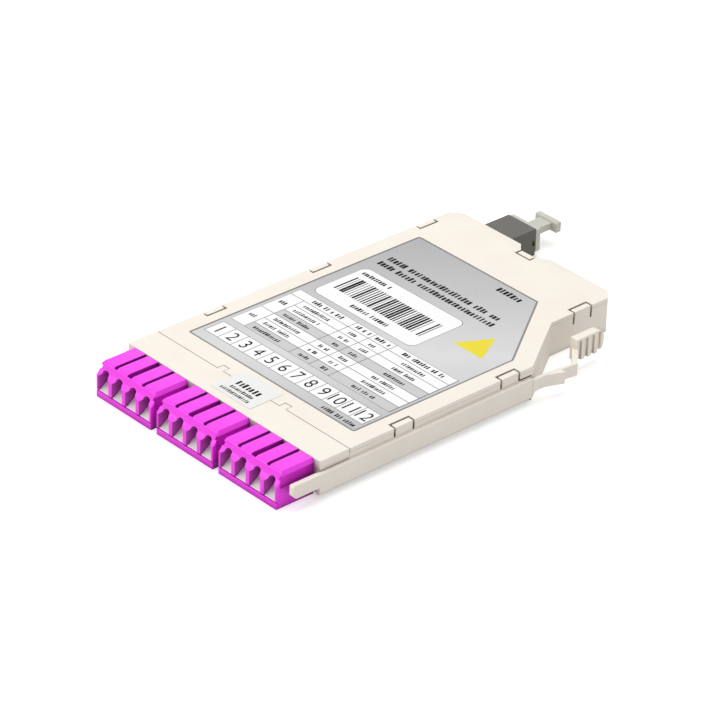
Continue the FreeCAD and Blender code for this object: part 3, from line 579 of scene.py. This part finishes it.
INK = 0.012
INK_SINK = 0.01
FIELD_LOW = FILM_TOP - INK_SINK
FIELD_TOP = FILM_TOP + INK
RULE_TOP = FIELD_TOP - INK / 2
WHITE_PRINT = (250, 250, 250)
WHITE_PRINT_SHADE = (240, 240, 241)
GREY_PRINT = (204, 204, 206)
GREY_PRINT_SHADE = (192, 192, 195)
RULE_PRINT = (96, 96, 100)
RULE_PRINT_SHADE = (84, 84, 88)
YELLOW_PRINT = (236, 219, 0)
YELLOW_PRINT_SHADE = (224, 205, 0)
CELLS = len(PORTS)
CELL_PITCH = 5.8
CELL_GAP = 0.25
CELL_LEFT = -34.6
CELL_FRONT = 4.5
CELL_DEPTH = 7.3
CELL_RULE = (0.1, 0.2)
TABLE_FRONT = 15.0
TABLE_ROWS = 6
TABLE_ROW = 3.95
TABLE_HEAD = 3.6
HALF_ROWS = 3
TABLE_HALF = HALF_ROWS * TABLE_ROW
TABLE_RULE = (0.1, 0.15)
TABLE_COLUMNS = (-34.6, -28.6, -8.8, 0.1, 8.7, 35.0)
GREY_ROWS = (0, 3)
PANEL = (-32.3, 11.9, 44.9, 67.1)
PANEL_CORNER = 2.6
PANEL_RULE = (0.16, 0.16)
FIELD_TRIANGLE = ((17.8, 56.4), (30.0, 56.4), (24.0, 67.9))
CORNER_STEPS = 6


def upper_corners(geometry):
    """The corners among what an extrusion made."""
    return [part for part in geometry if isinstance(part, bmesh.types.BMVert)]


def lay(solid, points, top=FIELD_TOP):
    """Adds a flat field of ink with the given outline, measured from the label's front edge."""
    base = [solid.verts.new((x * MM, (LABEL_FRONT + y) * MM, FIELD_LOW * MM)) for x, y in points]
    face = solid.faces.new(base)
    risen = bmesh.ops.extrude_face_region(solid, geom=[face])["geom"]
    bmesh.ops.translate(solid, vec=(0, 0, (top - FIELD_LOW) * MM), verts=upper_corners(risen))


def oblong(left, right, near, far, corner=0.0):
    """Corners of an oblong, rounded where corner isn't zero."""
    if not corner:
        return [(left, near), (right, near), (right, far), (left, far)]
    points = []
    for x, y, turn in (
        (right - corner, near + corner, -90), (right - corner, far - corner, 0),
        (left + corner, far - corner, 90), (left + corner, near + corner, 180),
    ):
        for step in range(CORNER_STEPS + 1):
            angle = math.radians(turn + 90 * step / CORNER_STEPS)
            points.append((x + corner * math.cos(angle), y + corner * math.sin(angle)))
    return points


def ruled(left, right, near, far, rule, corner=0.0):
    """Lays the dark rule that shows round an oblong and in the gaps of its fields."""
    aside, along = rule
    lay(lines, oblong(left - aside, right + aside, near - along, far + along, corner), RULE_TOP)


def printed(solid, name, ink):
    """Makes a finished layer of ink a piece of the housing, its faces turned outwards."""
    bmesh.ops.recalc_face_normals(solid, faces=solid.faces)
    shown(solid, name, ink, "housing", None)


white_ink = printed_ink("white_ink", WHITE_PRINT, WHITE_PRINT_SHADE)
grey_ink = printed_ink("grey_ink", GREY_PRINT, GREY_PRINT_SHADE)
line_ink = printed_ink("line_ink", RULE_PRINT, RULE_PRINT_SHADE)
yellow_ink = printed_ink("yellow_ink", YELLOW_PRINT, YELLOW_PRINT_SHADE)

white_fields, grey_fields = bmesh.new(), bmesh.new()
lines, yellow_field = bmesh.new(), bmesh.new()
cell_rear = CELL_FRONT + CELL_DEPTH
for cell in range(CELLS):
    left = CELL_LEFT + cell * CELL_PITCH
    right = left + CELL_PITCH
    lay(white_fields, oblong(left + CELL_GAP / 2, right - CELL_GAP / 2, CELL_FRONT, cell_rear))
ruled(CELL_LEFT, CELL_LEFT + CELLS * CELL_PITCH, CELL_FRONT, cell_rear, CELL_RULE)

head_front = TABLE_FRONT + TABLE_ROWS * TABLE_ROW
table_rear = head_front + TABLE_HEAD
ruled(TABLE_COLUMNS[0], TABLE_COLUMNS[-1], TABLE_FRONT, table_rear, TABLE_RULE)
for near in (TABLE_FRONT, TABLE_FRONT + TABLE_HALF):
    far = near + TABLE_HALF - CELL_GAP
    lay(white_fields, oblong(TABLE_COLUMNS[0], TABLE_COLUMNS[1] - CELL_GAP, near, far))
for left, right in zip(TABLE_COLUMNS[1:], TABLE_COLUMNS[2:]):
    for row in range(TABLE_ROWS):
        near = TABLE_FRONT + row * TABLE_ROW
        field = grey_fields if row in GREY_ROWS else white_fields
        lay(field, oblong(left, right - CELL_GAP, near, near + TABLE_ROW - CELL_GAP))
heads = (TABLE_COLUMNS[0], *TABLE_COLUMNS[2:])
for left, right in zip(heads, heads[1:]):
    lay(white_fields, oblong(left, right - CELL_GAP, head_front, table_rear))
ruled(*PANEL, PANEL_RULE, PANEL_CORNER)
lay(white_fields, oblong(*PANEL, PANEL_CORNER))
lay(yellow_field, FIELD_TRIANGLE)
printed(white_fields, "label_white_fields", white_ink)
printed(grey_fields, "label_grey_fields", grey_ink)
printed(lines, "label_rules", line_ink)
printed(yellow_field, "label_yellow_field", yellow_ink)


# ---------------------------------------------------------------------------
# Black print of the label
# Bars of the bar code, and rows of small strokes where words are printed. One rule
# lays them all: strokes of uneven width in a row, with some left out as spaces.

BLACK_TOP = FIELD_TOP + INK
BLACK_PRINT = (12, 11, 13)
BLACK_PRINT_SHADE = (26, 25, 27)
BLACK_GLOSS = 0.05
STROKE_DEPTH = 2 * INK
STROKE_LIFT = (0.0, 0.5, 0.5)
STROKE_INPUTS = {
    "Count": "Int", "Pitch": "Float", "Width": "Float", "Narrowest": "Float",
    "Height": "Float", "Lowest": "Float", "Thickness": "Float", "Spaces": "Float",
    "Drift": "Float", "Seed": "Int", "Ink": "Material",
}
WIDTH_DRAW = 5.0
HEIGHT_DRAW = 11.0
SPACE_DRAW = 17.0
DRIFT_DRAW = 23.0


def stroke_tree():
    """Geometry nodes that lay a row of upright strokes."""
    tree = bpy.data.node_groups.new("stroke_row", "GeometryNodeTree")
    face = tree.interface
    sockets = {
        name: face.new_socket(name, in_out="INPUT", socket_type=f"NodeSocket{kind}").identifier
        for name, kind in STROKE_INPUTS.items()
    }
    face.new_socket("Row", in_out="OUTPUT", socket_type="NodeSocketGeometry")
    nodes, links = tree.nodes, tree.links
    given = nodes.new("NodeGroupInput").outputs
    offset = nodes.new("ShaderNodeCombineXYZ")
    links.new(given["Pitch"], offset.inputs["X"])
    row = nodes.new("GeometryNodeMeshLine")
    links.new(given["Count"], row.inputs["Count"])
    links.new(offset.outputs["Vector"], row.inputs["Offset"])

    def drawn(low, high, draw):
        """A random value for each stroke, from its own draw on the row's seed."""
        chance = nodes.new("FunctionNodeRandomValue")
        seed = nodes.new("ShaderNodeMath")
        seed.inputs[1].default_value = draw
        links.new(given["Seed"], seed.inputs[0])
        links.new(seed.outputs[0], chance.inputs["Seed"])
        for value, end in ((low, 2), (high, 3)):
            if isinstance(value, float):
                chance.inputs[end].default_value = value
            else:
                links.new(value, chance.inputs[end])
        return chance.outputs[1]

    gap = nodes.new("FunctionNodeCompare")
    gap.operation = "LESS_THAN"
    links.new(drawn(0.0, 1.0, SPACE_DRAW), gap.inputs[0])
    links.new(given["Spaces"], gap.inputs[1])
    kept = nodes.new("GeometryNodeDeleteGeometry")
    links.new(row.outputs["Mesh"], kept.inputs["Geometry"])
    links.new(gap.outputs["Result"], kept.inputs["Selection"])
    aside = nodes.new("ShaderNodeMath")
    aside.operation = "MULTIPLY"
    links.new(drawn(-0.5, 0.5, DRIFT_DRAW), aside.inputs[0])
    links.new(given["Drift"], aside.inputs[1])
    shift = nodes.new("ShaderNodeCombineXYZ")
    links.new(aside.outputs["Value"], shift.inputs["X"])
    moved = nodes.new("GeometryNodeSetPosition")
    links.new(kept.outputs["Geometry"], moved.inputs["Geometry"])
    links.new(shift.outputs["Vector"], moved.inputs["Offset"])
    size = nodes.new("ShaderNodeCombineXYZ")
    links.new(drawn(given["Narrowest"], given["Width"], WIDTH_DRAW), size.inputs["X"])
    links.new(drawn(given["Lowest"], given["Height"], HEIGHT_DRAW), size.inputs["Y"])
    links.new(given["Thickness"], size.inputs["Z"])
    stroke = nodes.new("GeometryNodeMeshCube")
    lifted = nodes.new("GeometryNodeTransform")
    lifted.inputs["Translation"].default_value = STROKE_LIFT
    links.new(stroke.outputs["Mesh"], lifted.inputs["Geometry"])
    strokes_on = nodes.new("GeometryNodeInstanceOnPoints")
    links.new(moved.outputs["Geometry"], strokes_on.inputs["Points"])
    links.new(lifted.outputs["Geometry"], strokes_on.inputs["Instance"])
    links.new(size.outputs["Vector"], strokes_on.inputs["Scale"])
    real = nodes.new("GeometryNodeRealizeInstances")
    links.new(strokes_on.outputs["Instances"], real.inputs["Geometry"])
    inked = nodes.new("GeometryNodeSetMaterial")
    links.new(real.outputs["Geometry"], inked.inputs["Geometry"])
    links.new(given["Ink"], inked.inputs["Material"])
    links.new(inked.outputs["Geometry"], nodes.new("NodeGroupOutput").inputs["Row"])
    return tree, sockets


stroke_row, stroke_sockets = stroke_tree()
black_ink = printed_ink("black_ink", BLACK_PRINT, BLACK_PRINT_SHADE)
black_shader = black_ink.node_tree.nodes["Principled BSDF"]
black_shader.inputs["Specular IOR Level"].default_value = BLACK_GLOSS


def strokes(solid, left, near, top, count, pitch, width, narrowest, height, lowest, spaces,
            drift, seed):
    """Adds one row of strokes that starts at left and near, in millimetres."""
    holder = bpy.data.objects.new("stroke_holder", bpy.data.meshes.new("stroke_holder"))
    bpy.context.scene.collection.objects.link(holder)
    rule = holder.modifiers.new("row", "NODES")
    rule.node_group = stroke_row
    for name, value in (
        ("Count", count), ("Pitch", pitch * MM), ("Width", width * MM),
        ("Narrowest", narrowest * MM), ("Height", height * MM), ("Lowest", lowest * MM),
        ("Thickness", STROKE_DEPTH * MM), ("Spaces", spaces), ("Drift", drift * MM),
        ("Seed", seed), ("Ink", black_ink),
    ):
        rule[stroke_sockets[name]] = value
    evaluated = holder.evaluated_get(bpy.context.evaluated_depsgraph_get())
    mesh = bpy.data.meshes.new_from_object(evaluated)
    mesh.transform(Matrix.Translation((left * MM, near * MM, (top - STROKE_DEPTH) * MM)))
    solid.from_mesh(mesh)
    bpy.data.objects.remove(holder)
    bpy.data.meshes.remove(mesh)


BAR_LEFT, BAR_RIGHT = -29.6, 9.0
BAR_FRONT = 51.0
BAR_HEIGHT = 9.9
BAR_COUNT = 34
BAR_WIDEST = 0.86
BAR_NARROWEST = 0.2
BAR_DRIFT = 0.12
BAR_SPACES = 0.04
BAR_SEED = 4
LETTER_PITCH = 1.15
LETTER_HEIGHT = 2.1
LETTER_WIDEST = 0.8
LETTER_NARROWEST = 0.42
LETTER_DRIFT = 0.18
WORD_LOWEST = 0.7
WORD_SPACES = 0.12
WORD_ROWS = (
    # left, right, near, height, seed
    (-32.5, 16.2, 75.3, 2.5, 3),
    (-32.5, 18.3, 71.3, 2.5, 9),
    (2.5, 13.3, 88.1, 2.7, 21),
    (-30.5, -18.0, 63.2, 1.9, 5),
    (-18.0, -2.0, 47.0, 2.0, 8),
    (20.5, 34.6, 1.3, 1.7, 13),
)
WORD_RISE = 1.0
HEAD_WORDS = ((-27.0, -13.0), (-7.4, -1.4), (1.2, 7.4), (13.0, 31.0))
HEAD_WORD_HEIGHT = 1.9
HEAD_SEED = 30
ROW_WORDS = ((-26.5, -15.5), (-6.4, -2.2), (2.6, 6.0), (17.0, 27.0))
ROW_WORD_HEIGHT = 1.6
ROW_SEED = 40
ROW_SEED_STEP = 7
HALF_WORD = (-33.4, -30.2)
HALF_WORD_ROW = 1.35
HALF_WORD_HEIGHT = 1.7
HALF_SEED = 90

black_print = bmesh.new()
bar = (BAR_RIGHT - BAR_LEFT) / BAR_COUNT
strokes(
    black_print, BAR_LEFT + bar / 2, LABEL_FRONT + BAR_FRONT, BLACK_TOP, BAR_COUNT, bar,
    bar * BAR_WIDEST, bar * BAR_NARROWEST, BAR_HEIGHT, BAR_HEIGHT, BAR_SPACES,
    bar * BAR_DRIFT, BAR_SEED,
)


def words(left, right, near, height, seed):
    """One row of printed words between left and right."""
    pitch = LETTER_PITCH * height / LETTER_HEIGHT
    count = max(2, round((right - left) / pitch))
    strokes(
        black_print, left + pitch / 2, LABEL_FRONT + near, BLACK_TOP, count, pitch,
        pitch * LETTER_WIDEST, pitch * LETTER_NARROWEST, height, height * WORD_LOWEST,
        WORD_SPACES, pitch * LETTER_DRIFT, seed,
    )


for row in WORD_ROWS:
    words(*row)
for index, span in enumerate(HEAD_WORDS):
    words(*span, head_front + WORD_RISE, HEAD_WORD_HEIGHT, HEAD_SEED + index)
for row in range(TABLE_ROWS):
    near = TABLE_FRONT + row * TABLE_ROW + WORD_RISE
    for index, span in enumerate(ROW_WORDS):
        words(*span, near, ROW_WORD_HEIGHT, ROW_SEED + ROW_SEED_STEP * row + index)
for half in range(2):
    near = TABLE_FRONT + (half * HALF_ROWS + HALF_WORD_ROW) * TABLE_ROW
    words(*HALF_WORD, near, HALF_WORD_HEIGHT, HALF_SEED + half)
printed(black_print, "label_black_print", black_ink)


# ---------------------------------------------------------------------------
# Port numbers
# The numbers 1 to 12, printed in black in the cells of the label so that each port can
# be found from above.

NUMBER_HEIGHT = 4.6
NUMBER_WEIGHT = -0.002
NUMBER_NARROWING = 0.9
NUMBER_WELD = 0.001
CURVE_STEPS = 6


def figure(text, x, y):
    """The flat mesh of one printed number, with its middle at x, y."""
    curve = bpy.data.curves.new("number", "FONT")
    curve.body = text
    curve.size = 1.0
    curve.resolution_u = CURVE_STEPS
    curve.offset = NUMBER_WEIGHT
    holder = bpy.data.objects.new("number", curve)
    bpy.context.scene.collection.objects.link(holder)
    evaluated = holder.evaluated_get(bpy.context.evaluated_depsgraph_get())
    mesh = bpy.data.meshes.new_from_object(evaluated)
    across = [v.co.x for v in mesh.vertices]
    middle = (min(across) + max(across)) / 2
    tall = max(v.co.y for v in mesh.vertices)
    scale = NUMBER_HEIGHT / tall * MM
    for vertex in mesh.vertices:
        vertex.co.x = (vertex.co.x - middle) * scale * NUMBER_NARROWING + x * MM
        vertex.co.y = (vertex.co.y - tall / 2) * scale + y * MM
        vertex.co.z = BLACK_TOP * MM
    bpy.data.objects.remove(holder)
    return mesh


numbers = bmesh.new()
for cell in range(CELLS):
    number_x = CELL_LEFT + (cell + 0.5) * CELL_PITCH
    number_y = LABEL_FRONT + CELL_FRONT + CELL_DEPTH / 2
    numbers.from_mesh(figure(str(cell + 1), number_x, number_y))
bmesh.ops.remove_doubles(numbers, verts=numbers.verts, dist=NUMBER_WELD * MM)
risen = bmesh.ops.extrude_face_region(numbers, geom=numbers.faces[:])["geom"]
bmesh.ops.translate(numbers, vec=(0, 0, -STROKE_DEPTH * MM), verts=upper_corners(risen))
printed(numbers, "label_port_numbers", black_ink)


# ---------------------------------------------------------------------------
# Paper seal
# A small white paper seal stuck across the joint of strip and cover, so that opening
# the housing tears it. Its print is three short rows of strokes, the rear one tallest.

PAPER = (240, 240, 239)
PAPER_SHADE = (226, 226, 223)
PAPER_ROUGHNESS = (0.6, 0.75)
PAPER_FIBRE = 0.25
PAPER_DETAIL = 4.0
PAPER_STRETCH = (1, 2, 1)
PAPER_SHADING = 0.5
PAPER_RELIEF = 0.004
SEAL_ROWS = (
    # left, right, near, height, seed
    (-4.4, 5.0, 6.0, 2.6, 63),
    (-4.4, 5.6, 3.6, 1.5, 61),
    (-6.2, 6.4, 1.3, 1.5, 68),
)
SEAL_LOWEST = 0.75
SEAL_SPACES = 0.08

seal_low, seal_high = (Vector(corner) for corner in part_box("seal_sticker"))


def paper():
    """Uncoated white paper with a faint run of fibres."""
    material, nodes, links, shader, place = node_material("seal_paper")
    fibres = noise(nodes, links, place, PAPER_FIBRE, PAPER_DETAIL, PAPER_STRETCH)
    share = between(nodes, links, fibres, 0.0, PAPER_SHADING)
    toned = blended(nodes, links, share, linear(PAPER), linear(PAPER_SHADE))
    links.new(toned, shader.inputs["Base Color"])
    links.new(between(nodes, links, fibres, *PAPER_ROUGHNESS), shader.inputs["Roughness"])
    raise_grain(nodes, links, shader, fibres, PAPER_RELIEF)
    return material


shown(clean_copy("seal_sticker"), "paper_seal", paper(), "housing", "label_film", "seal_sticker")
seal_print = bmesh.new()
for left, right, near, height, seed in SEAL_ROWS:
    pitch = LETTER_PITCH * height / LETTER_HEIGHT
    strokes(
        seal_print, left, seal_low.y / MM + near, seal_high.z / MM + INK,
        round((right - left) / pitch), pitch, pitch * LETTER_WIDEST, pitch * LETTER_NARROWEST,
        height, height * SEAL_LOWEST, SEAL_SPACES, pitch * LETTER_DRIFT, seed,
    )
printed(seal_print, "seal_black_print", black_ink)


# ---------------------------------------------------------------------------
# Studio
# A pale floor under the cassette, soft lamps above and in front, and a long lens that
# looks down on the ports' right-hand corner.

FLOOR_SIZE = 3.0
FLOOR_DROP = 0.02
FLOOR_WHITE = (0.86, 0.86, 0.86, 1.0)
FLOOR_ROUGHNESS = 0.9
FLOOR_LIFT = 0.42
WHITE = (1.0, 1.0, 1.0, 1.0)
SKY_LIGHT = 0.58
LAMPS = (
    # name, place, size, watts, colour
    ("top_softbox", (-0.15, 0.1, 0.9), 0.7, 3.5, (1.0, 1.0, 1.0)),
    ("front_softbox", (-0.5, -0.9, 0.5), 0.6, 3.0, (1.0, 0.955, 0.91)),
)
CAMERA_PLACE = (712.62, -680.26, 579.00)
CAMERA_AZIMUTH = 46.875
CAMERA_ELEVATION = 30.436
CAMERA_ROLL = 2.025
CAMERA_LENS = 191.12
CAMERA_SENSOR = 36.0
CAMERA_FAR = 20.0


def studio_floor():
    """A matt white floor that keeps the shadow and looks white to the camera."""
    bpy.ops.mesh.primitive_plane_add(size=FLOOR_SIZE, location=(0, 0, -FLOOR_DROP * MM))
    floor = bpy.context.object
    floor.name = "studio_floor"
    material, nodes, links, shader, place = node_material("white_floor")
    shader.inputs["Base Color"].default_value = FLOOR_WHITE
    shader.inputs["Roughness"].default_value = FLOOR_ROUGHNESS
    shader.inputs["Specular IOR Level"].default_value = 0.0
    seen = nodes.new("ShaderNodeLightPath").outputs["Is Camera Ray"]
    lift = nodes.new("ShaderNodeMath")
    lift.operation = "MULTIPLY"
    lift.inputs[1].default_value = FLOOR_LIFT
    links.new(seen, lift.inputs[0])
    shader.inputs["Emission Color"].default_value = WHITE
    links.new(lift.outputs["Value"], shader.inputs["Emission Strength"])
    floor.data.materials.append(material)
    return floor


def soft_lamp(name, place, size, watts, colour):
    """A round soft lamp that points at the cassette."""
    lamp = bpy.data.lights.new(name, "AREA")
    lamp.shape = "DISK"
    lamp.size = size
    lamp.energy = watts
    lamp.color = colour
    holder = bpy.data.objects.new(name, lamp)
    holder.location = place
    holder.rotation_euler = (-Vector(place)).to_track_quat("-Z", "Y").to_euler()
    bpy.context.scene.collection.objects.link(holder)


def white_world():
    """A sky that is white to the camera and in mirrors, and dimmer as a light."""
    world = bpy.data.worlds.new("white_studio")
    bpy.context.scene.world = world
    world.use_nodes = True
    nodes, links = world.node_tree.nodes, world.node_tree.links
    paths = nodes.new("ShaderNodeLightPath").outputs
    open_air = nodes.new("ShaderNodeMath")
    open_air.operation = "MAXIMUM"
    mirrored = nodes.new("ShaderNodeMath")
    mirrored.operation = "MAXIMUM"
    links.new(paths["Is Glossy Ray"], mirrored.inputs[0])
    links.new(paths["Is Transmission Ray"], mirrored.inputs[1])
    links.new(paths["Is Camera Ray"], open_air.inputs[0])
    links.new(mirrored.outputs["Value"], open_air.inputs[1])
    glow = nodes.new("ShaderNodeMapRange")
    glow.inputs["To Min"].default_value = SKY_LIGHT
    glow.inputs["To Max"].default_value = 1.0
    links.new(open_air.outputs["Value"], glow.inputs["Value"])
    nodes["Background"].inputs["Color"].default_value = WHITE
    links.new(glow.outputs["Result"], nodes["Background"].inputs["Strength"])


studio_floor()
white_world()
for lamp in LAMPS:
    soft_lamp(*lamp)

azimuth, elevation, roll = (
    math.radians(angle) for angle in (CAMERA_AZIMUTH, CAMERA_ELEVATION, CAMERA_ROLL)
)
back = Vector((
    math.sin(azimuth) * math.cos(elevation),
    -math.cos(azimuth) * math.cos(elevation),
    math.sin(elevation),
))
level = (-back).cross(Vector((0, 0, 1))).normalized()
upward = level.cross(-back)
right = math.cos(roll) * level + math.sin(roll) * upward
up = -math.sin(roll) * level + math.cos(roll) * upward
turned = Matrix((right, up, back)).transposed().to_4x4()
camera = bpy.data.objects.new("camera", bpy.data.cameras.new("camera"))
bpy.context.scene.collection.objects.link(camera)
camera.data.lens = CAMERA_LENS
camera.data.sensor_width = CAMERA_SENSOR
camera.data.clip_end = CAMERA_FAR
camera.matrix_world = Matrix.Translation([c * MM for c in CAMERA_PLACE]) @ turned
bpy.context.scene.camera = camera
bpy.context.scene.view_settings.view_transform = "Standard"
